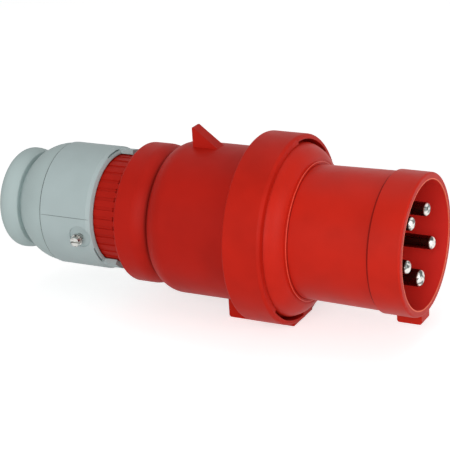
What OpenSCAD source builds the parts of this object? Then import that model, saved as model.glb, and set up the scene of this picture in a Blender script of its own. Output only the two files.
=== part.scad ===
/* [Contacts] */
// Number of contact pins, the earth pin included
pin_count = 5; // [3:1:5]
// Diameter of a phase or neutral pin
pin_d = 8; // [6:0.5:9]
// Diameter of the earth pin
earth_d = 10; // [8:0.5:11]
// Diameter of the circle that the pins stand on
pin_circle_d = 41; // [38:0.5:44]
// How far the pins stand out of the insert
pin_out = 53.5; // [40:0.5:56]
// How far the pin tips lie behind the mouth
pin_recess = 2.5; // [2:0.5:10]
// Outside diameter of a terminal barrel
terminal_d = 13; // [11.5:0.5:14]
// Diameter of the hole for a stripped core
core_hole_d = 8; // [5:0.5:8.5]
// Length of a terminal barrel
terminal_len = 26; // [20:1:30]
// Thread diameter of a terminal screw
terminal_screw_d = 5; // [3:0.5:6]
// Terminal screws in each barrel
screws_each = 2; // [1:1:2]

/* [Front sleeve] */
// Outside diameter of the band at the mouth
mouth_d = 82; // [78:1:90]
// Wall of the sleeve at the mouth
sleeve_wall = 4.1; // [3:0.1:5]
// Length of the thicker band behind the mouth
band_len = 18.5; // [10:0.5:30]
// Height of the band above the sleeve
band_step = 1.2; // [0.5:0.1:1.5]
// Length of the sleeve, from the mouth to the flange cone
sleeve_len = 67.4; // [64:0.2:90]
// Taper of the sleeve on its radius, from band to cone
sleeve_draft = 0.8; // [0:0.1:1]
// Thickness of the solid disc of the pin insert
insert_disc = 28; // [24:1:34]
// Width of the key under the mouth
key_w = 12; // [8:0.5:16]
// Length of the key
key_len = 15; // [8:0.5:18]
// Height of the key above the band
key_h = 5.5; // [3:0.5:7]

/* [Coupling ring] */
// Outside diameter of the coupling ring
ring_d = 111.6; // [108:0.4:124]
// Length of the ring along the plug
ring_len = 23.5; // [20:0.5:30]
// Width of the ring's front lip
lip_w = 4.6; // [3.5:0.1:5]
// Number of bayonet gates through the lip
gate_count = 2; // [2:1:4]
// Angle that each gate is open
gate_angle = 45.5; // [25:0.5:60]
// Depth of a gate and of the bayonet channel
gate_depth = 2; // [1:0.1:2.6]
// Width of the flat lug under the ring
lug_w = 24.4; // [12:0.2:32]
// How far the lug reaches behind the ring
lug_tail = 20.5; // [10:0.5:21]
// Depth of the lug's flat below the ring
lug_drop = 0.4; // [0.2:0.1:3]

/* [Handle housing] */
// Outside diameter of the barrel
barrel_d = 91.2; // [90:0.2:94]
// Length of the straight part of the barrel
barrel_len = 54; // [50:1:70]
// Length of the rounded shoulder behind it
shoulder_len = 10.5; // [8:0.5:16]
// Fall of the shoulder on its radius
shoulder_fall = 4.6; // [3:0.1:6]
// Wall of the barrel
barrel_wall = 2.9; // [2.5:0.1:3.2]
// Width of the groove behind the shoulder
groove_w = 1.6; // [1:0.2:4]
// Depth of the groove below the collar
groove_depth = 3.9; // [2:0.1:5]
// Length of the rounded collar behind the groove
collar_len = 20.4; // [16:0.4:24]
// Largest diameter of the collar
collar_d = 84.4; // [82:0.4:88]
// Diameter of the fluted neck
neck_d = 66; // [62:0.5:68]
// Length of neck left bare in front of the gland nut
neck_bare = 18.5; // [14:0.5:24]
// Number of flutes round the neck
flute_count = 36; // [18:1:40]
// Depth of a flute
flute_depth = 0.5; // [0.4:0.1:0.9]
// Width of the latch hook
hook_w = 8; // [5:0.5:12]
// Height of the latch hook above the barrel
hook_h = 11.6; // [6:0.2:14]
// Distance from the flange to the back of the hook
hook_at = 50.3; // [40:0.1:52]
// Length of the latch hook's slope
hook_len = 17; // [12:0.5:24]

/* [Cable gland] */
// Outside diameter of the gland nut
nut_d = 75; // [74:0.5:80]
// Length of the gland nut
nut_len = 35; // [32:0.5:44]
// Thread diameter of the neck inside the nut
thread_d = 61; // [58:0.5:61.5]
// Largest cable diameter, the bore of the seal
cable_d = 32; // [20:1:34]
// Length of the cable seal
seal_len = 19; // [14:0.5:20]
// Wall of the cable seal
seal_wall = 9.8; // [8:0.1:9.8]
// Length of the bellmouth outside the nut
bell_len = 36; // [32:0.5:44]
// Largest diameter of the bellmouth's rim
bell_d = 62.6; // [58:0.2:66]
// Diameter at the bottom of the bellmouth's groove
bell_groove_d = 51; // [49:0.5:54]
// Thread diameter of the lock screw
lock_d = 4; // [3:0.5:5]
// Angle of the lock screw below the plug's side
lock_angle = 10.5; // [0:0.5:45]

/* [Clearances] */
// Radial clearance of a fixed spigot in its seat
seat_gap = 0.15; // [0.05:0.05:0.3]
// Radial clearance of what turns
turn_gap = 0.4; // [0.3:0.05:0.6]
// End play of what turns
end_play = 0.3; // [0.2:0.05:0.5]

/* [Hidden] */
$fn = 96;
sliver = 0.01;

// Radii that follow from the diameters above
mouth_r = mouth_d / 2;
bore_r = mouth_r - sleeve_wall;
body_r = mouth_r - band_step;
root_r = body_r - sleeve_draft;
circle_r = pin_circle_d / 2;
terminal_r = terminal_d / 2;
ring_r = ring_d / 2;
lip_r = ring_r - lip_w;
flange_r = lip_r - turn_gap;
barrel_r = barrel_d / 2;
spigot_seat_r = barrel_r - barrel_wall;
spigot_r = spigot_seat_r - seat_gap;
spigot_wall = 2.55;
insert_seat_r = spigot_r - spigot_wall;
neck_r = neck_d / 2;
thread_r = thread_d / 2;
nut_r = nut_d / 2;
cable_r = cable_d / 2;
seal_r = cable_r + seal_wall;
seal_seat_r = seal_r + seat_gap;

// Axial stations, each a distance behind the mouth
insert_front = pin_recess + pin_out;
insert_back = insert_front + insert_disc;
insert_rim = 4;
dome_len = 9.4;
flange_front = sleeve_len + 0.8 + dome_len;
ring_front = flange_front - 1;
ring_back = ring_front + ring_len;
flange_len = 14.3;
flange_back = flange_front + flange_len;
spigot_len = 20;
spigot_back = flange_back + spigot_len;
barrel_back = flange_back + barrel_len;
shoulder_back = barrel_back + shoulder_len;
collar_front = shoulder_back + groove_w;
collar_back = collar_front + collar_len;
nut_front = collar_back + neck_bare;
nut_back = nut_front + nut_len;
overall = nut_back + bell_len;
flute_run = 12.5;
flute_back = nut_front + flute_run;
neck_back = nut_back - 10;
thrust_t = 3;
thrust_back = neck_back + end_play;
thrust_front = thrust_back - thrust_t;
seal_back = thrust_front - seat_gap;
seal_front = seal_back - seal_len;

// The lug's flat, which the plug stands on, and so the height of the plug's axis
stand_h = ring_r + lug_drop;

// Clock angles, from the key at the bottom towards the far side
pin_step = 360 / pin_count;
gate_start = 132.5;
lock_clock = lock_angle - 90;
flute_step = 360 / flute_count;

// Puts a shape that is drawn round the X axis, mouth at x = 0, onto the plug's place
module stand() {
    translate([overall / 2, 0, stand_h]) children();
}

// Turns a profile of [radius, x] round the plug's axis, from a clock angle on
module turned(angle = 360, start = 0) {
    rotate([start, 0, 0]) rotate([0, 90, 0]) rotate_extrude(angle = angle) children();
}

// A stretch of tube in a profile, between two radii and two stations
module band(inner_r, outer_r, front, back) {
    translate([inner_r, -back]) square([outer_r - inner_r, back - front]);
}

// What a rounded corner loses in a profile; the signs say which way the corner points
module corner(at_r, station, round_r, out_r, out_x) {
    translate([at_r - out_r * round_r, -station - out_x * round_r]) difference() {
        scale([out_r, out_x]) square(round_r + 1);
        circle(round_r);
    }
}

// A straight round bar along the axis, off the axis at a clock angle
module rod(clock, off, r, front, back) {
    rotate([clock, 0, 0]) translate([-back, 0, -off]) rotate([0, 90, 0]) cylinder(r = r, h = back - front);
}

// A round bar across the axis, from one distance off the axis to another
module stud(clock, station, r, from, to) {
    rotate([clock, 0, 0]) translate([-station, 0, -to]) cylinder(r = r, h = to - from);
}

// A slab with rounded lower corners, seen from the side, below the axis
module keel(front, back, top, bottom, w, round_r) {
    rotate([90, 0, 0]) linear_extrude(height = w, center = true) union() {
        translate([-back, -bottom + round_r]) square([back - front, bottom - top - round_r]);
        translate([-back + round_r, -bottom]) square([back - front - 2 * round_r, round_r + sliver]);
        for (x = [-back + round_r, -front - round_r]) translate([x, -bottom + round_r]) circle(round_r);
    }
}

// [Front sleeve] shroud, key, domed flange and the spigot that the handle housing grips
root_step = 1.6;
dome_start_r = root_r + 2 * root_step;
dome_r = 15;
rim_round = 1.2;

// The dome between the sleeve's root and the flange, a slice of one round torus
module dome() {
    chord = [flange_r - dome_start_r, dome_len];
    half = norm(chord) / 2;
    rise = sqrt(dome_r * dome_r - half * half);
    centre = [(flange_r + dome_start_r) / 2 - rise * dome_len / (2 * half),
        flange_front - dome_len / 2 + rise * chord[0] / (2 * half)];
    intersection() {
        band(bore_r, flange_r, flange_front - dome_len, flange_front);
        translate([centre[0], -centre[1]]) circle(dome_r);
    }
}

module sleeve_profile() {
    seat_at = insert_back - insert_rim;
    difference() {
        union() {
            band(0, mouth_r, 0, band_len);
            polygon([[0, -band_len], [body_r, -band_len], [root_r, -sleeve_len], [0, -sleeve_len]]);
            band(0, root_r + root_step, sleeve_len, flange_front);
            dome();
            band(0, flange_r, flange_front, flange_back);
            band(0, spigot_r, flange_back, spigot_back);
        }
        polygon([[0, 1], [bore_r, 1], [bore_r, -seat_at], [insert_seat_r, -seat_at],
            [insert_seat_r, -spigot_back - 1], [0, -spigot_back - 1]]);
        corner(mouth_r, 0, rim_round, 1, 1);
        band(spigot_seat_r - o_ring_d, spigot_r + 1, o_ring_at - o_ring_d * 0.7, o_ring_at + o_ring_d * 0.7);
    }
}

module front_sleeve() {
    key_front = 1.2;
    color("firebrick") stand() difference() {
        union() {
            turned() sleeve_profile();
            keel(key_front, key_front + key_len, bore_r, mouth_r + key_h, key_w, 1.5);
        }
        turned() band(0, bore_r, -1, band_len);
    }
}

// [Pin insert] disc that carries the pins, with a slotted skirt round the terminals
skirt_wall = 2.6;
barrel_seat = 6;

module pin_insert() {
    color("brown") stand() difference() {
        turned() union() {
            band(0, bore_r - seat_gap, insert_front, insert_back - insert_rim);
            band(0, insert_seat_r - seat_gap, insert_back - insert_rim + seat_gap, insert_back);
            band(0, min(bore_r, insert_seat_r) - seat_gap - 1, insert_front + 1, insert_back);
            band(insert_seat_r - seat_gap - skirt_wall, insert_seat_r - seat_gap,
                insert_back - sliver, spigot_back);
        }
        for (i = [0:pin_count - 1]) {
            pin_r = (i == 0 ? earth_d : pin_d) / 2;
            rod(i * pin_step, circle_r, pin_r + seat_gap, insert_front - 1, insert_back + 1);
            rod(i * pin_step, circle_r, pin_r + collar_w + seat_gap, collar_at, insert_back + 1);
            rod(i * pin_step, circle_r, terminal_r + seat_gap, insert_back - barrel_seat, insert_back + 1);
            rotate([i * pin_step, 0, 0]) translate([-spigot_back - 1, -terminal_r, -barrel_r])
                cube([terminal_len, 2 * terminal_r, barrel_r - circle_r]);
        }
    }
}

// [Pins] one turned piece each: round-edged pin, relieved root, collar, and a barrel bored for the core
core_depth = 18;
tip_round = 2.4;
root_gap = 0.5;
root_relief = 0.3;
collar_w = 0.8;
collar_at = insert_front + 1;
terminal_back = insert_back + terminal_len;

// The stations of the terminal screws along a barrel
function screw_at(k) = terminal_back - 5.5 - 8 * k;

module contact(i, d) {
    color("silver") stand() difference() {
        union() {
            rotate([i * pin_step, 0, 0]) translate([0, 0, -circle_r]) turned() difference() {
                union() {
                    band(0, d / 2, pin_recess, insert_front - root_gap);
                    band(0, d / 2 - root_relief, pin_recess + tip_round, collar_at + 1);
                }
                corner(d / 2, pin_recess, tip_round, 1, 1);
            }
            rod(i * pin_step, circle_r, d / 2 + collar_w, collar_at + seat_gap, insert_back - barrel_seat + 1);
            rod(i * pin_step, circle_r, terminal_r, insert_back - barrel_seat + seat_gap, terminal_back);
        }
        rod(i * pin_step, circle_r, core_hole_d / 2, terminal_back - core_depth, terminal_back + 1);
        for (k = [0:screws_each - 1])
            stud(i * pin_step, screw_at(k), terminal_screw_d / 2 + 0.05, circle_r, circle_r + terminal_r + 1);
    }
}

module pin_l1() { contact(1, pin_d); }
module pin_l2() { contact(2, pin_d); }
module pin_l3() { contact(3, pin_d); }
module pin_neutral() { contact(4, pin_d); }
module pin_earth() { contact(0, earth_d); }

// Slotted screws that clamp a core in its barrel, backed off until they just show inside
screw_len = 5;
screw_slot = 1;

module terminal_screws(i) {
    head = circle_r + terminal_r + 1;
    color("gainsboro") stand() for (k = [0:screws_each - 1]) difference() {
        stud(i * pin_step, screw_at(k), terminal_screw_d / 2, head - screw_len, head);
        rotate([i * pin_step, 0, 0]) translate([-screw_at(k) - screw_slot / 2, -terminal_r, -head - 1])
            cube([screw_slot, 2 * terminal_r, 2.2]);
    }
}

module terminal_screws_l1() { terminal_screws(1); }
module terminal_screws_l2() { terminal_screws(2); }
module terminal_screws_l3() { terminal_screws(3); }
module terminal_screws_neutral() { terminal_screws(4); }
module terminal_screws_earth() { terminal_screws(0); }

// [Coupling ring] bayonet ring with gates in its lip, a channel behind it and a flat lug
lip_len = 4;
channel_len = 7;
ring_web = 5;
web_front = flange_back + end_play;
web_back = web_front + ring_web;
clip_t = 1.5;
clip_w = 4.2;
clip_depth = 1.4;
clip_seat_r = barrel_r - clip_depth;
bearing_r = barrel_r + turn_gap;

module ring_bore() {
    band(0, lip_r, ring_front - 1, web_front);
    band(0, lip_r + gate_depth, ring_front + lip_len, ring_front + lip_len + channel_len);
    band(0, bearing_r, web_front - 1, ring_back + lug_tail + 1);
    band(0, clip_seat_r + clip_w + turn_gap, web_back, ring_back);
}

module coupling_ring() {
    color("firebrick") stand() difference() {
        union() {
            turned() difference() {
                band(0, ring_r, ring_front, ring_back);
                corner(ring_r, ring_front, 2, 1, 1);
                corner(ring_r, ring_back, 1.2, 1, -1);
            }
            keel(ring_front + 0.8, ring_back + lug_tail, barrel_r - 4, stand_h, lug_w, 1.5);
        }
        turned() ring_bore();
        for (i = [0:gate_count - 1]) turned(gate_angle, gate_start + i * 360 / gate_count)
            band(lip_r - 1, lip_r + gate_depth - 0.3, ring_front - 1, ring_front + lip_len + 1);
    }
}

// Spring clip that keeps the ring from sliding back along the barrel
clip_front = web_back + 0.1;

module ring_clip() {
    color("dimgray") stand() difference() {
        turned() band(clip_seat_r + 0.05, clip_seat_r + clip_w, clip_front, clip_front + clip_t);
        translate([-clip_front - clip_t - 1, -5, 0]) cube([clip_t + 2, 10, 2 * barrel_r]);
    }
}

// [Handle housing] barrel with the latch hook, grooved and collared end, fluted neck
barrel_bore_r = spigot_seat_r - skirt_wall - spigot_wall;
throat_r = 22;
flute_w = 1.8;
notch_w = 2.4;
notch_len = 6;

// The radius of the circle that falls by `fall` over the length `run`
function arc_r(run, fall) = (run * run + fall * fall) / (2 * fall);

module barrel_shoulder() {
    r = arc_r(shoulder_len, shoulder_fall);
    intersection() {
        band(0, barrel_r, barrel_back - sliver, shoulder_back);
        translate([barrel_r - r, -barrel_back]) circle(r);
    }
}

// The collar rises in an arc behind the groove and stays level up to its rear edge
module rear_collar() {
    rise_len = 9;
    crest = collar_front + rise_len;
    r = arc_r(rise_len, groove_depth - 0.4);
    intersection() {
        band(0, collar_d / 2, collar_front, crest + sliver);
        translate([collar_d / 2 - r, -crest]) circle(r);
    }
    difference() {
        band(0, collar_d / 2, crest, collar_back);
        corner(collar_d / 2, collar_back, 1.6, 1, -1);
    }
}

// The wiring chamber, its throat and the seat of the cable seal
module housing_bore() {
    band(0, spigot_seat_r, flange_back - 1, spigot_back + 0.1);
    polygon([[0, -spigot_back], [barrel_bore_r, -spigot_back], [barrel_bore_r, -barrel_back],
        [throat_r, -collar_back], [throat_r, -neck_back - 1], [0, -neck_back - 1]]);
    band(0, seal_seat_r, seal_front - seat_gap, neck_back + 1);
}

module hook() {
    tip = barrel_r + hook_h;
    back = flange_back + hook_at;
    rotate([90, 0, 0]) linear_extrude(height = hook_w, center = true)
        polygon([[-back, barrel_r - barrel_wall], [-back, tip], [-back + 1, tip],
            [-back + hook_len, barrel_r - 0.6], [-back + hook_len, barrel_r - barrel_wall]]);
}

module handle_housing() {
    color("firebrick") stand() difference() {
        union() {
            turned() difference() {
                union() {
                    band(0, barrel_r, flange_back, barrel_back);
                    barrel_shoulder();
                    band(0, collar_d / 2 - groove_depth, shoulder_back - sliver, collar_front + sliver);
                    rear_collar();
                    band(0, neck_r, collar_back - sliver, flute_back);
                    band(0, thread_r, flute_back - sliver, neck_back);
                }
                band(clip_seat_r, barrel_r + 1, clip_front - 0.05, clip_front + clip_t + 0.1);
            }
            hook();
        }
        turned() housing_bore();
        for (i = [0:flute_count - 1]) rotate([lock_clock + i * flute_step, 0, 0]) {
            translate([-flute_back - 1, -flute_w / 2, -neck_r - 1])
                cube([flute_back - collar_back - 0.5, flute_w, 1 + flute_depth]);
            translate([-collar_back - notch_len, -notch_w / 2, -neck_r - 1])
                cube([notch_len - 0.5, notch_w, 1 + 2.5 * flute_depth]);
        }
    }
}

// [Housing seal] cord ring in the groove of the sleeve's spigot
o_ring_d = 1.5;
o_ring_ease = 0.03;
o_ring_at = flange_back + 10;

module housing_o_ring() {
    color("black") stand() turned()
        translate([spigot_seat_r - o_ring_d / 2, -o_ring_at]) circle(d = o_ring_d - 2 * o_ring_ease);
}

// [Cable seal] rubber sleeve that the gland squeezes onto the cable
module cable_seal() {
    color("dimgray") stand() turned() difference() {
        band(cable_r, seal_r, seal_front, seal_back);
        corner(seal_r, seal_front, 2, 1, 1);
        corner(seal_r, seal_back, 2, 1, -1);
    }
}

// [Thrust ring] slides with the gland nut, and keeps it from twisting the seal
module thrust_ring() {
    color("silver") stand() turned()
        band(cable_r + 1.6, seal_r, thrust_front, thrust_back);
}

// [Gland nut] runs on the neck's thread; its front skirt covers the flutes
nut_mouth_r = neck_r + 0.7;
nut_round = 3.2;
nut_step = 0.6;
apron_r = nut_r - 0.9;
apron_len = 8;
apron_angle = 216;
apron_start = -44;
slit_angle = 22;
slit_land = 1.2;
slit_w = 1;
slit_depth = 3;
nut_ledge = flute_back + 1.5;
bell_seat_r = thread_r + 2.7;
spot_r = 7;
spot_depth = 1.2;
lock_at = nut_front + 8.5;

module gland_nut() {
    color("lightslategray") stand() difference() {
        union() {
            turned() polygon([[0, -nut_front], [nut_r - nut_round, -nut_front],
                [nut_r - nut_round / 3, -nut_front - nut_round / 4], [nut_r, -nut_front - nut_round],
                [nut_r, -nut_back], [0, -nut_back]]);
            turned(apron_angle, apron_start) band(0, apron_r, nut_front - apron_len, nut_front + nut_round);
        }
        turned() union() {
            band(0, nut_mouth_r, nut_front - apron_len - 1, nut_ledge);
            band(0, thread_r + turn_gap, nut_ledge - 1, nut_back + 1);
            band(0, bell_seat_r, thrust_back, nut_back + 1);
        }
        for (start = [apron_start - slit_angle - slit_land, apron_start + apron_angle + slit_land])
            turned(slit_angle, start) band(apron_r - slit_w, apron_r - 0.05, nut_front - 1, nut_front + slit_depth);
        stud(lock_clock, lock_at, spot_r, nut_r - spot_depth, nut_r + 5);
        stud(lock_clock, lock_at, lock_d / 2 + 0.05, neck_r, nut_r + 1);
    }
}

// [Bellmouth] snaps into the nut; flared so that the cable bends over a smooth rim
bell_bore_r = cable_r + 1.5;
bell_gap = 0.15;
bell_round = 5.5;
flare_r = 24;
flare_len = 18;
flare_start = overall - flare_len;
groove_round = 4;
rim_len = 13.5;
bell_groove_at = overall - rim_len;
crown_len = 18;
crown_fall = 4.6;

module bell_outside() {
    crown = arc_r(crown_len, crown_fall);
    difference() {
        union() {
            band(0, bell_seat_r - seat_gap, thrust_back + bell_gap, nut_back);
            intersection() {
                band(0, nut_r - nut_step, nut_back, bell_groove_at);
                translate([nut_r - nut_step - crown, -nut_back]) circle(crown);
            }
            band(0, bell_d / 2 - bell_round, nut_back, overall - bell_round);
            translate([bell_d / 2 - bell_round, -overall + bell_round]) circle(bell_round);
        }
        translate([bell_groove_d / 2 + groove_round, -bell_groove_at]) circle(groove_round);
    }
}

module bellmouth() {
    color("lightgray") stand() turned() intersection() {
        bell_outside();
        union() {
            band(bell_bore_r, nut_r, thrust_back, flare_start);
            translate([bell_bore_r + flare_r, -flare_start]) circle(flare_r);
        }
    }
}

// [Lock screw] stops the nut by dropping its point into a flute of the neck
head_r = 3;
head_len = 2.6;
washer_t = 0.8;
lock_stroke = 1;
point_ease = 0.1;
point_r = flute_w / 2 - point_ease;
point_len = 1.4;
lock_tip = neck_r - flute_depth + point_ease / 2 + lock_stroke;
head_at = nut_r + 3.4;

module lock_screw() {
    color("silver") stand() difference() {
        union() {
            stud(lock_clock, lock_at, point_r, lock_tip, lock_tip + point_len + sliver);
            stud(lock_clock, lock_at, lock_d / 2, lock_tip + point_len, head_at + sliver);
            stud(lock_clock, lock_at, head_r, head_at, head_at + head_len);
        }
        rotate([lock_clock, 0, 0]) translate([-lock_at - head_r - 1, -0.5, -head_at - head_len - 1])
            cube([2 * head_r + 2, 1, 2.2]);
    }
}

module lock_washer() {
    color("gainsboro") stand() difference() {
        stud(lock_clock, lock_at, head_r + 0.6, head_at - washer_t, head_at - 0.05);
        stud(lock_clock, lock_at, lock_d / 2 + 0.1, nut_r, head_at + 1);
    }
}

front_sleeve();
pin_insert();
pin_l1();
pin_l2();
pin_l3();
pin_neutral();
pin_earth();
terminal_screws_l1();
terminal_screws_l2();
terminal_screws_l3();
terminal_screws_neutral();
terminal_screws_earth();
coupling_ring();
ring_clip();
handle_housing();
housing_o_ring();
cable_seal();
thrust_ring();
gland_nut();
bellmouth();
lock_washer();
lock_screw();
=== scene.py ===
"""Looks for an industrial pin and sleeve plug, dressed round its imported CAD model."""

from math import asin, cos, degrees, pi, radians, sin

import bmesh
import bpy
from mathutils import Matrix, Vector


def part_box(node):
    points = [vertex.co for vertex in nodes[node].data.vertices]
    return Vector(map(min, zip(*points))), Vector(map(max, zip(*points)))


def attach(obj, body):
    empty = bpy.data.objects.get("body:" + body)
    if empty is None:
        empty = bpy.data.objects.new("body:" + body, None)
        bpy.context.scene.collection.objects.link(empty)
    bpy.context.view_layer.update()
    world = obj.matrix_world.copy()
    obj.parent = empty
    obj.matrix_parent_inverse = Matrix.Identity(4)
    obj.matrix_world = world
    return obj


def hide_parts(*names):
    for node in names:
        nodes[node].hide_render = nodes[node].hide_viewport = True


MM = 0.001

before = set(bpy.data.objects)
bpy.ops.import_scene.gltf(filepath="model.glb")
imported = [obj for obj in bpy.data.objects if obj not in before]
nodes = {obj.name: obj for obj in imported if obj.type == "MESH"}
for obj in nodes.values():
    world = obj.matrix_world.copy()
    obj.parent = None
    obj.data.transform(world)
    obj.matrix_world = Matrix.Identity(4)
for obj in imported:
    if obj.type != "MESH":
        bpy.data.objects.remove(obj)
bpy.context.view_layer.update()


def extent(node, axis):
    """Lowest and highest place of a node along one axis."""
    low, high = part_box(node)
    return low[axis], high[axis]


def half_height(node):
    """Half of a node's extent along Z, its radius where it is round."""
    low, high = extent(node, 2)
    return (high - low) / 2


def stations(node):
    """First and last station of a node: its distances behind the mouth, in metres."""
    low, high = extent(node, 0)
    return MOUTH_X - high, MOUTH_X - low


# The plug's axis runs along X. These are read off the CAD nodes.
MOUTH_X = extent("front_sleeve", 0)[1]
AXIS_Z = sum(extent("gland_nut", 2)) / 2
PIN_TIP_X = extent("pin_l1", 0)[1]
NUT_FRONT, NUT_BACK = stations("gland_nut")
NUT_R = half_height("gland_nut")
BELL_FRONT, BELL_BACK = stations("bellmouth")
CROWN_R = half_height("bellmouth")

# The rest of the plug's sizes that are needed here, as part.scad has them. Only the handle's groove,
# between its first and last station, is taken a little wider.
BORE_R = 36.9 * MM
BAND_LEN = 18.5 * MM
BODY_R = 39.8 * MM
ROOT_AT = 67.4 * MM
ROOT_R = 39.0 * MM
ROOT_STEP = 1.6 * MM
# Stations of the handle's groove, where painted shade darkens the handle.
HANDLE_GROOVE = (155.8 * MM, 158.2 * MM)


def place(station, radius, clock):
    """A point on the plug; its clock angle starts at the bottom and grows towards the far side."""
    return Vector((MOUTH_X - station, radius * sin(clock), AXIS_Z - radius * cos(clock)))


# --------------------------------------------------------------------------- materials

def srgb(r, g, b):
    """Linear colour from 0..255 display values."""
    def lin(v):
        v /= 255
        return v / 12.92 if v <= 0.04045 else ((v + 0.055) / 1.055) ** 2.4
    return (lin(r), lin(g), lin(b), 1)


def shaded(colour, factor):
    """The same colour, darker or lighter."""
    return tuple(c * factor for c in colour[:3]) + (1,)


def feed(tree, socket, value):
    """Gives a socket a constant or another node's output."""
    if isinstance(value, (int, float, tuple)):
        socket.default_value = value
    else:
        tree.links.new(value, socket)


def math_node(tree, operation, *values):
    """Result of one arithmetic node."""
    node = tree.nodes.new("ShaderNodeMath")
    node.operation = operation
    for socket, value in zip(node.inputs, values):
        feed(tree, socket, value)
    return node.outputs["Value"]


class Maker:
    """Short hand for building one node material."""

    def __init__(self, name):
        self.material = bpy.data.materials.new(name)
        self.material.use_nodes = True
        self.tree = self.material.node_tree
        self.shader = self.tree.nodes["Principled BSDF"]
        self.coords = self.node("ShaderNodeTexCoord").outputs["Object"]

    def node(self, kind, **settings):
        """A new node of this material, with its settings."""
        made = self.tree.nodes.new(kind)
        for key, value in settings.items():
            setattr(made, key, value)
        return made

    def set(self, name, value):
        """Gives one of the shader's inputs a constant or an output."""
        feed(self.tree, self.shader.inputs[name], value)

    def link(self, out, into):
        """Joins an output to a socket."""
        self.tree.links.new(out, into)

    def math(self, operation, *values):
        """Result of an arithmetic node of this material."""
        return math_node(self.tree, operation, *values)

    def noise(self, scale, detail=3.0, roughness=0.55, stretch=(1, 1, 1)):
        """Noise over the object's own coordinates, in cells per metre."""
        mapping = self.node("ShaderNodeMapping")
        mapping.inputs["Scale"].default_value = stretch
        self.link(self.coords, mapping.inputs["Vector"])
        noise = self.node("ShaderNodeTexNoise")
        noise.inputs["Scale"].default_value = scale
        noise.inputs["Detail"].default_value = detail
        noise.inputs["Roughness"].default_value = roughness
        self.link(mapping.outputs["Vector"], noise.inputs["Vector"])
        return noise.outputs["Fac"]

    def ramp(self, fac, stops):
        """Colour ramp of (position, colour) stops."""
        ramp = self.node("ShaderNodeValToRGB")
        while len(ramp.color_ramp.elements) < len(stops):
            ramp.color_ramp.elements.new(0.5)
        for element, (position, colour) in zip(ramp.color_ramp.elements, stops):
            element.position = position
            element.color = colour
        self.link(fac, ramp.inputs["Fac"])
        return ramp.outputs["Color"]

    def span(self, fac, low, high, start=0.0, end=1.0):
        """Takes a value between start and end to one between low and high."""
        span = self.node("ShaderNodeMapRange")
        span.inputs["From Min"].default_value = start
        span.inputs["From Max"].default_value = end
        span.inputs["To Min"].default_value = low
        span.inputs["To Max"].default_value = high
        self.link(fac, span.inputs["Value"])
        return span.outputs["Result"]

    def axis(self, name):
        """One of the object's own coordinates."""
        parts = self.node("ShaderNodeSeparateXYZ")
        self.link(self.coords, parts.inputs["Vector"])
        return parts.outputs[name]

    def mix(self, fac, first, second):
        """First colour at 0, second at 1."""
        mix = self.node("ShaderNodeMix", data_type="RGBA")
        self.link(fac, mix.inputs["Factor"])
        feed(self.tree, mix.inputs["A"], first)
        feed(self.tree, mix.inputs["B"], second)
        return mix.outputs["Result"]

    def relief(self, fac, distance, strength, edge):
        """Bump from a height, over edges that are softened by a small radius."""
        bevel = self.node("ShaderNodeBevel", samples=6)
        bevel.inputs["Radius"].default_value = edge
        bump = self.node("ShaderNodeBump")
        bump.inputs["Distance"].default_value = distance
        bump.inputs["Strength"].default_value = strength
        self.link(fac, bump.inputs["Height"])
        self.link(bevel.outputs["Normal"], bump.inputs["Normal"])
        self.link(bump.outputs["Normal"], self.shader.inputs["Normal"])


def from_axis(m):
    """Distance from the plug's axis."""
    flat = m.node("ShaderNodeCombineXYZ")
    m.link(m.axis("Y"), flat.inputs["X"])
    m.link(m.math("SUBTRACT", m.axis("Z"), AXIS_Z), flat.inputs["Y"])
    length = m.node("ShaderNodeVectorMath", operation="LENGTH")
    m.link(flat.outputs["Vector"], length.inputs[0])
    return length.outputs["Value"]


def paint_bore_light(m, tint, bore_light):
    """Paints the inside of the sleeve's bore a lighter red, as painted light where little light reaches, with
    a painted highlight along the edge of its mouth.
    """
    inside = m.span(from_axis(m), 1, 0, BORE_R, BORE_R + 0.6 * MM)
    by_edge = m.span(from_axis(m), 1, 0, BORE_R + 0.5 * MM, BORE_R + 0.8 * MM)
    at_mouth = m.span(m.axis("X"), 0, 1, MOUTH_X - 0.5 * MM, MOUTH_X - 0.3 * MM)
    bore_lit = m.mix(inside, tint, bore_light)
    # Painted highlight: a light orange line at the inner edge of the mouth.
    return m.mix(m.math("MULTIPLY", by_edge, at_mouth), bore_lit, srgb(250, 112, 82))


def paint_groove_shade(m, tint, colour, groove):
    """Painted shade: darkens a groove, given as its first and last station, and fades out beside it."""
    middle, half = MOUTH_X - sum(groove) / 2, (groove[1] - groove[0]) / 2
    gap = m.math("ABSOLUTE", m.math("SUBTRACT", m.axis("X"), middle))
    return m.mix(m.span(gap, 0.75, 0, half, half + 1.2 * MM), tint, shaded(colour, 0.35))


def moulded(name, colour, rough=(0.36, 0.5), mottle=0.1, shine=0.3, bore_light=None, groove=None):
    """Moulded plastic: faint flow mottling, fine mould grain, gloss that wanders, softened edges; where
    asked, painted light in the bore and painted shade in a groove.
    """
    m = Maker(name)
    tint = m.ramp(m.noise(38, 2.0), [
        (0.3, shaded(colour, 1 - mottle)), (0.55, colour), (0.75, shaded(colour, 1 + mottle * 0.6))])
    # Painted light inside the bore, with a painted highlight at its mouth.
    if bore_light:
        tint = paint_bore_light(m, tint, bore_light)
    # Painted shade in the groove.
    if groove:
        tint = paint_groove_shade(m, tint, colour, groove)
    m.set("Base Color", tint)
    m.set("Roughness", m.span(m.noise(120, 3.0), *rough))
    m.set("IOR", 1.5)
    m.set("Specular IOR Level", shine)
    m.relief(m.noise(1400, 2.0), 0.03 * MM, 0.35, 0.35 * MM)
    return m.material


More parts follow.
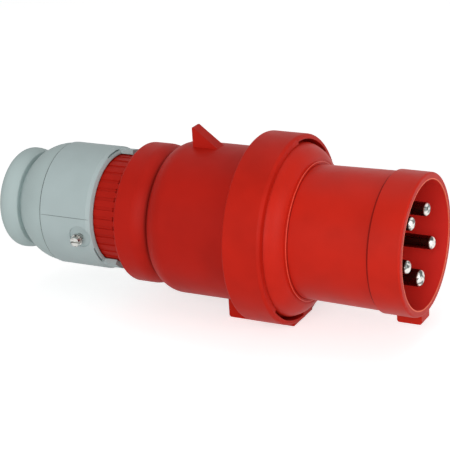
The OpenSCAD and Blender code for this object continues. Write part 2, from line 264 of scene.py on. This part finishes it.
def rubber(name, colour, rough=(0.6, 0.8)):
    """Matt rubber with a dusty bloom and a fine grain."""
    m = Maker(name)
    m.set("Base Color", m.ramp(m.noise(90, 4.0), [(0.35, shaded(colour, 0.85)), (0.7, shaded(colour, 1.25))]))
    m.set("Roughness", m.span(m.noise(260, 3.0), *rough))
    m.relief(m.noise(900, 3.0), 0.05 * MM, 0.5, 0.2 * MM)
    return m.material


def metal(name, bright, dark, rough=(0.2, 0.34), spotted=False):
    """Plated or bare metal: tarnish clouds, and dark spots where it is spotted."""
    m = Maker(name)
    tint = m.ramp(m.noise(240, 4.0), [(0.32, dark), (0.56, bright)])
    if spotted:
        clear = m.ramp(m.noise(620, 2.0, 0.4), [(0.33, (0, 0, 0, 1)), (0.39, (1, 1, 1, 1))])
        tint = m.mix(clear, shaded(dark, 0.25), tint)
    m.set("Base Color", tint)
    m.set("Metallic", 1)
    m.set("Roughness", m.span(m.noise(420, 3.0), *rough))
    m.relief(m.noise(700, 2.0), 0.02 * MM, 0.3, 0.15 * MM)
    return m.material


def pin_metal(name):
    """Plated pin: bright flat end with stains, shank dark brown, nearly black."""
    m = Maker(name)
    near_end = m.span(m.axis("X"), 0, 1, PIN_TIP_X - 2.0 * MM, PIN_TIP_X - 1.2 * MM)
    shank = m.ramp(m.noise(70, 2.0, stretch=(0.25, 1, 1)),
                   [(0.35, srgb(62, 38, 32)), (0.7, srgb(112, 70, 58))])
    end = m.ramp(m.noise(330, 1.0), [(0.40, srgb(96, 100, 98)), (0.52, srgb(232, 230, 224))])
    m.set("Base Color", m.mix(near_end, shank, end))
    m.set("Metallic", 1)
    m.set("Roughness", m.span(m.noise(300, 3.0), 0.2, 0.36))
    m.relief(m.noise(600, 2.0, stretch=(8, 1, 1)), 0.02 * MM, 0.3, 0.3 * MM)
    return m.material


# The sleeve's bore is painted a lighter red as painted light, with a painted highlight at the mouth's edge.
RED = moulded("red_moulded", srgb(199, 36, 20), shine=0.12, bore_light=srgb(232, 50, 42))
RED_RING = moulded("red_moulded_ring", srgb(192, 32, 17), rough=(0.42, 0.56), shine=0.1)
# The handle's groove gets painted shade.
RED_BARREL = moulded("red_moulded_handle", srgb(182, 27, 14), rough=(0.44, 0.58), shine=0.12,
                     groove=HANDLE_GROOVE)
RED_INSERT = moulded("red_insert_material", srgb(214, 34, 30), rough=(0.45, 0.6), shine=0.12)
GREY = moulded("grey_moulded", srgb(179, 194, 194), rough=(0.46, 0.6), mottle=0.05, shine=0.2)
LIGHT_GREY = moulded("light_grey_moulded", srgb(181, 197, 196), rough=(0.5, 0.64), mottle=0.05, shine=0.2)
GREY_SHADE = moulded("grey_parting_shade", srgb(128, 138, 138), rough=(0.55, 0.7), mottle=0.05)
SEAM_SHADE = moulded("grey_seam_shade", srgb(52, 57, 57), rough=(0.6, 0.75), mottle=0.05, shine=0.1)
# Painted highlight: a light orange red for thin bright lines along edges.
RED_HIGHLIGHT = moulded("red_painted_highlight", srgb(236, 84, 62), rough=(0.25, 0.35), mottle=0.05, shine=0.3)
RED_SHADE = moulded("red_step_shade", srgb(146, 23, 15), rough=(0.55, 0.7), mottle=0.05, shine=0.1)
SLIP = moulded("slip_ring_moulded", srgb(222, 220, 210), rough=(0.4, 0.5), mottle=0.05)
NICKEL = pin_metal("nickel_pin")
STEEL = metal("zinc_steel", srgb(206, 206, 202), srgb(150, 148, 144), spotted=True)
SPRING = metal("spring_steel_dark", srgb(120, 118, 116), srgb(66, 64, 62), rough=(0.3, 0.5))
GREY_RUBBER = rubber("grey_rubber_seal", srgb(58, 58, 60))
BLACK_RUBBER = rubber("black_rubber_cord", srgb(24, 24, 25))

FINISH = {
    "front_sleeve": RED, "coupling_ring": RED_RING, "handle_housing": RED_BARREL, "pin_insert": RED_INSERT,
    "gland_nut": GREY, "bellmouth": LIGHT_GREY, "thrust_ring": SLIP, "cable_seal": GREY_RUBBER,
    "housing_o_ring": BLACK_RUBBER, "ring_clip": SPRING, "lock_screw": STEEL, "lock_washer": STEEL,
}


def finish_of(node):
    """Material of a CAD node, by its name."""
    if node in FINISH:
        return FINISH[node]
    return STEEL if node.startswith("terminal_screws") else NICKEL


for name, node in nodes.items():
    node.data.materials.clear()
    node.data.materials.append(finish_of(name))


# --------------------------------------------------------------------------- pieces

def mesh_piece(name, verts, faces, material, body):
    """A closed mesh piece that rides on a body."""
    mesh = bpy.data.meshes.new(name)
    mesh.from_pydata([tuple(v) for v in verts], [], faces)
    mesh.materials.append(material)
    piece = bpy.data.objects.new(name, mesh)
    bpy.context.scene.collection.objects.link(piece)
    work = bmesh.new()
    work.from_mesh(mesh)
    bmesh.ops.recalc_face_normals(work, faces=work.faces)
    work.to_mesh(mesh)
    work.free()
    mesh.shade_smooth()
    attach(piece, body)
    return piece


def arc(centre, size, first, last, steps=24):
    """Points of an ellipse's arc in the (station, radius) plane; 0 degrees faces the rear, 90 outwards."""
    angles = [radians(first + (last - first) * i / steps) for i in range(steps + 1)]
    return [(centre[0] + size[0] * cos(a), centre[1] + size[1] * sin(a)) for a in angles]


def revolved(name, outline, material, body, turns=160):
    """A closed (station, radius) outline turned about the plug's axis."""
    count = len(outline)
    verts = [place(s, r, 2 * pi * i / turns) for i in range(turns) for s, r in outline]
    faces = []
    for i in range(turns):
        a, b = i * count, (i + 1) % turns * count
        faces += [(a + k, b + k, b + (k + 1) % count, a + (k + 1) % count) for k in range(count)]
    return mesh_piece(name, verts, faces, material, body)


def hoop(name, station, radius, half_w, half_h, material, body):
    """A thin bead that runs once round the axis; its section is an ellipse."""
    outline = arc((station, radius), (half_w, half_h), 0, 360, 10)[:-1]
    return revolved(name, outline, material, body, turns=144)


def line_bead(name, run, clock, radius, half_w, half_h, material, body, steps=12, sides=8):
    """A thin bead between two stations on a straight line of the surface, tapering away at its ends."""
    verts, faces = [], []
    for i in range(steps + 1):
        t = i / steps
        station = run[0] + (run[1] - run[0]) * t
        fade = min(1.0, 0.25 + 4 * min(t, 1 - t))
        for k in range(sides):
            a = 2 * pi * k / sides
            swing = half_w * fade * cos(a) / radius
            verts.append(place(station, radius + half_h * fade * sin(a), clock + swing))
    for i in range(steps):
        a, b = i * sides, (i + 1) * sides
        faces += [(a + k, b + k, b + (k + 1) % sides, a + (k + 1) % sides) for k in range(sides)]
    faces.append(tuple(range(sides)))
    faces.append(tuple(range(steps * sides, (steps + 1) * sides)))
    return mesh_piece(name, verts, faces, material, body)


def add_nut_lines():
    """The mould's two parting lines along the nut, drawn darker as painted shade, and a dark bead of painted
    shade in the seam where the bellmouth leaves it.
    """
    clock = radians(-97.7)
    run = (NUT_FRONT + 9 * MM, NUT_BACK - 0.4 * MM)
    for name, at in (("nut_parting_line", clock), ("nut_parting_line_far", clock + pi)):
        line_bead(name, run, at, NUT_R, 0.2 * MM, 0.1 * MM, GREY_SHADE, "gland")
    # Painted shade: a dark bead in the seam between the nut and the bellmouth.
    hoop("bellmouth_joint_shade", NUT_BACK, NUT_R - 0.4 * MM, 0.48 * MM, 0.4 * MM,
         SEAM_SHADE, "gland")


def bellmouth_outline():
    """Section of the bellmouth, from the bore round the flare, rim, crease and crown to the seat."""
    bore_r, seat_r = 17.5 * MM, 33.05 * MM
    flare_at, flare_r = BELL_BACK - 18 * MM, 24 * MM
    flare_end = degrees(asin((BELL_BACK - flare_at) / flare_r))
    rim_round, rim_bulge = 5.5 * MM, 9.95 * MM
    rim = (BELL_BACK - rim_round, 25.8 * MM)
    crease_at, crease_r = BELL_BACK - 13.8 * MM, 25.9 * MM
    lip_round, lip_rise = 0.9 * MM, 2.9 * MM
    crown_run, crown_fall = 21.8 * MM, 10.7 * MM
    crown_bend = (crown_run ** 2 + crown_fall ** 2) / (2 * crown_fall)
    crown_end = degrees(asin(crown_run / crown_bend))
    return [
        (BELL_FRONT, bore_r),
        *arc((flare_at, bore_r + flare_r), (flare_r, flare_r), -90, -90 + flare_end),
        *arc(rim, (rim_round, rim_round), 2, 90),
        *arc(rim, (rim_bulge, rim_round), 94, 136),
        *arc((crease_at + lip_round, crease_r + lip_rise), (lip_round, lip_round), 120, 180, 6),
        (crease_at, crease_r),
        *arc((NUT_BACK, CROWN_R - crown_bend), (crown_bend, crown_bend), 90 - crown_end, 90),
        (NUT_BACK, seat_r),
        (BELL_FRONT, seat_r)]


def add_bellmouth():
    """The bellmouth with its crown falling into a sharp crease and its rim bulging over the crease."""
    piece = revolved("bellmouth_moulding", bellmouth_outline(), LIGHT_GREY, "gland")
    piece.data.set_sharp_from_angle(angle=radians(30))
    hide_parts("bellmouth")


def add_sleeve_lines():
    """Painted shadow at the foot of the mouth band's step, and where the sleeve leaves its dome a fine line
    of painted shade and a fine painted highlight on the step's edge.
    """
    for name, station, radius, half_w, half_h, material in (
            ("sleeve_step_line", BAND_LEN + 0.75 * MM, BODY_R, 0.5 * MM, 0.1 * MM, RED_SHADE),
            ("sleeve_root_line", ROOT_AT - 0.05 * MM, ROOT_R + 0.05 * MM, 0.3 * MM, 0.25 * MM, RED_SHADE),
            ("sleeve_root_highlight", ROOT_AT + 0.12 * MM, ROOT_R + ROOT_STEP - 0.1 * MM, 0.24 * MM, 0.22 * MM,
             RED_HIGHLIGHT)):
        hoop(name, station, radius, half_w, half_h, material, "plug_body")


add_nut_lines()
add_bellmouth()
add_sleeve_lines()


# --------------------------------------------------------------------------- camera, light and floor

# The camera was fitted to the photo's round edges. AIM is how far, in metres, its axis passes to the
# right of the middle of the mouth and above it; a negative value is to the left.
VIEW_AZIMUTH = radians(28.42)
VIEW_ELEVATION = radians(20.18)
VIEW_ROLL = radians(-3.63)
VIEW_DISTANCE = 0.9
SENSOR = 36.0
LENS = 129.31
SHIFT = (0.0043, -0.0191)
AIM = (-0.1132, 0.0160)
CENTRE = (0, 0, AXIS_Z)


def camera_axes():
    """Right, up and back directions of the camera."""
    a, e = VIEW_AZIMUTH, VIEW_ELEVATION
    back = Vector((sin(a) * cos(e), -cos(a) * cos(e), sin(e)))
    level = Vector((cos(a), sin(a), 0))
    upright = back.cross(level)
    c, s = cos(VIEW_ROLL), sin(VIEW_ROLL)
    return c * level + s * upright, c * upright - s * level, back


def add_camera():
    """The camera at the photo's angle."""
    right, up, back = camera_axes()
    camera = bpy.data.objects.new("camera", bpy.data.cameras.new("camera"))
    bpy.context.scene.collection.objects.link(camera)
    mouth = Vector((MOUTH_X, 0, AXIS_Z))
    spot = mouth + AIM[0] * right + AIM[1] * up + VIEW_DISTANCE * back
    turn = Matrix((right, up, back)).transposed().to_4x4()
    camera.matrix_world = Matrix.Translation(spot) @ turn
    camera.data.sensor_width = SENSOR
    camera.data.lens = LENS
    camera.data.shift_x, camera.data.shift_y = SHIFT
    camera.data.clip_start = 0.01
    bpy.context.scene.camera = camera


def add_lamp(name, spot, size, power):
    """A soft rectangular lamp that faces the middle of the plug."""
    data = bpy.data.lights.new(name, "AREA")
    data.shape = "RECTANGLE"
    data.size, data.size_y = size
    data.energy = power
    lamp = bpy.data.objects.new(name, data)
    bpy.context.scene.collection.objects.link(lamp)
    spot = Vector(spot)
    turn = (spot - Vector(CENTRE)).to_track_quat("Z", "Y").to_matrix().to_4x4()
    lamp.matrix_world = Matrix.Translation(spot) @ turn


def seen_directly(tree):
    """1 for rays from the camera and for what glossy and clear surfaces show, else 0."""
    path = tree.nodes.new("ShaderNodeLightPath").outputs
    seen = math_node(tree, "MAXIMUM", path["Is Camera Ray"], path["Is Glossy Ray"])
    return math_node(tree, "MAXIMUM", seen, path["Is Transmission Ray"])


def set_world(light, backdrop):
    """A white world with one strength for lighting and another where it is seen directly."""
    world = bpy.data.worlds.new("studio")
    bpy.context.scene.world = world
    world.use_nodes = True
    tree = world.node_tree
    background = tree.nodes["Background"]
    background.inputs["Color"].default_value = (1, 1, 1, 1)
    level = tree.nodes.new("ShaderNodeMapRange")
    level.inputs["To Min"].default_value = light
    level.inputs["To Max"].default_value = backdrop
    tree.links.new(seen_directly(tree), level.inputs["Value"])
    tree.links.new(level.outputs["Result"], background.inputs["Strength"])


def add_floor(half=6.0, lift=0.62):
    """A white floor; its own glow is seen by the camera and by glossy surfaces only."""
    m = Maker("floor_white")
    m.set("Base Color", m.ramp(m.noise(3, 2.0), [(0.3, (0.80, 0.80, 0.80, 1)), (0.7, (0.82, 0.82, 0.82, 1))]))
    m.set("Roughness", 0.9)
    m.set("Specular IOR Level", 0.1)
    m.set("Emission Color", (1, 1, 1, 1))
    m.set("Emission Strength", m.span(seen_directly(m.tree), 0, lift))
    mesh = bpy.data.meshes.new("floor")
    corners = [(-half, -half, 0), (half, -half, 0), (half, half, 0), (-half, half, 0)]
    mesh.from_pydata(corners, [], [(0, 1, 2, 3)])
    mesh.materials.append(m.material)
    floor = bpy.data.objects.new("floor", mesh)
    bpy.context.scene.collection.objects.link(floor)


add_camera()
add_floor()
set_world(light=0.34, backdrop=1.0)
add_lamp("key_light", (0.30, -1.35, 0.55), (1.1, 0.8), 9.6)
add_lamp("mouth_light", (1.30, -0.45, 0.40), (0.8, 0.8), 5.5)
add_lamp("top_light", (0.0, 0.3, 1.4), (1.2, 0.7), 2.0)
bpy.context.scene.view_settings.view_transform = "Standard"
